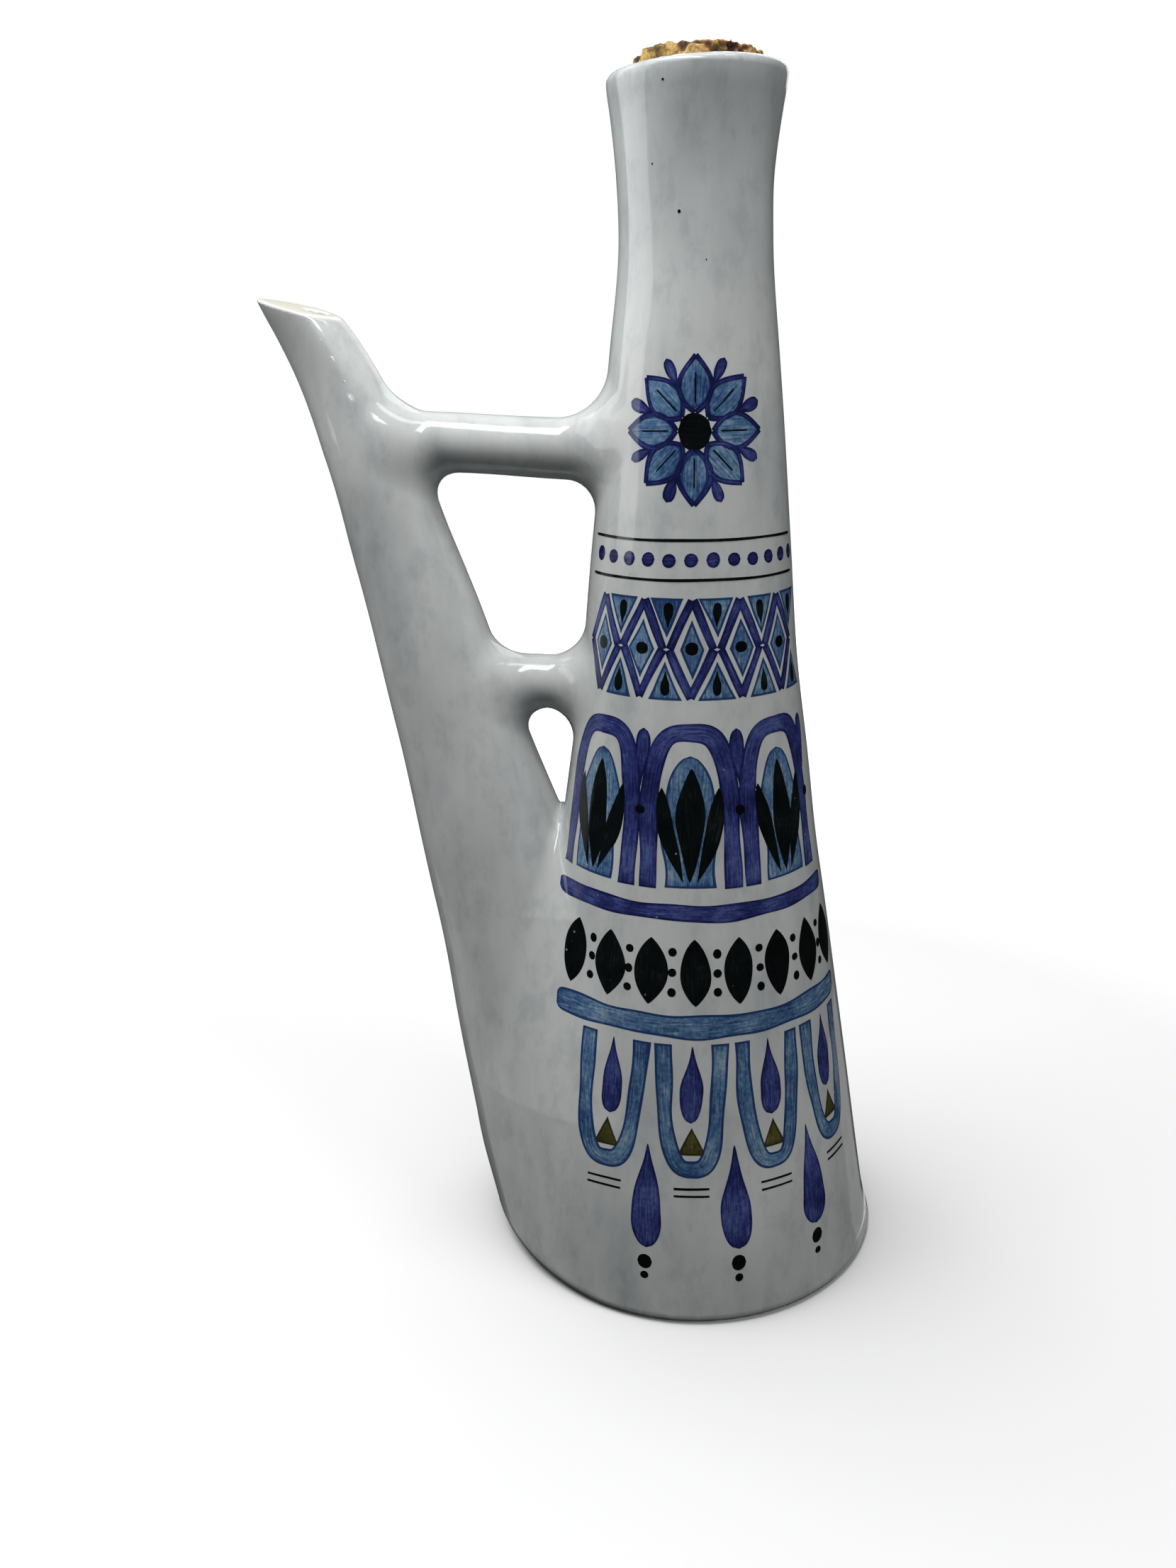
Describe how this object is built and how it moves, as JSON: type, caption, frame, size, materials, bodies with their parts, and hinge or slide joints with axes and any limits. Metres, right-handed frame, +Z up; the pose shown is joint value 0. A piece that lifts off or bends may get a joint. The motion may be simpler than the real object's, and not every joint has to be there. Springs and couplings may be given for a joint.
{
  "type": "corked ceramic bottle with side spout",
  "caption": "Tall tapering glazed ceramic spirits bottle with a leaning side spout, bridging bars that make its handle, and a cork stopper.",
  "frame": {"origin": "on the axis of the turned body, on the flat underside that it stands on", "axes": "+Z up along the body's axis to the lip and cork; -X towards the spout; -Y towards the painted front"},
  "size_m": [0.1919, 0.128, 0.365],
  "materials": {
    "glaze": "pale grey-white tin glaze over earthenware, glossy",
    "cork": "bare bark cork with dark pits"
  },
  "bodies": {
    "bottle": {"base_disc": "glaze", "body_wall": "glaze", "neck_collar": "glaze", "spout_tube": "glaze", "spout_beak": "glaze", "upper_bridge": "glaze", "lower_bridge": "glaze"},
    "cork": {"cork_stopper": "cork"}
  },
  "joints": [
    {"name": "cork_pull", "type": "slide", "parent": "bottle", "child": "cork", "axis": [0, 0, 1], "range_m": [0, 0.045]}
  ]
}
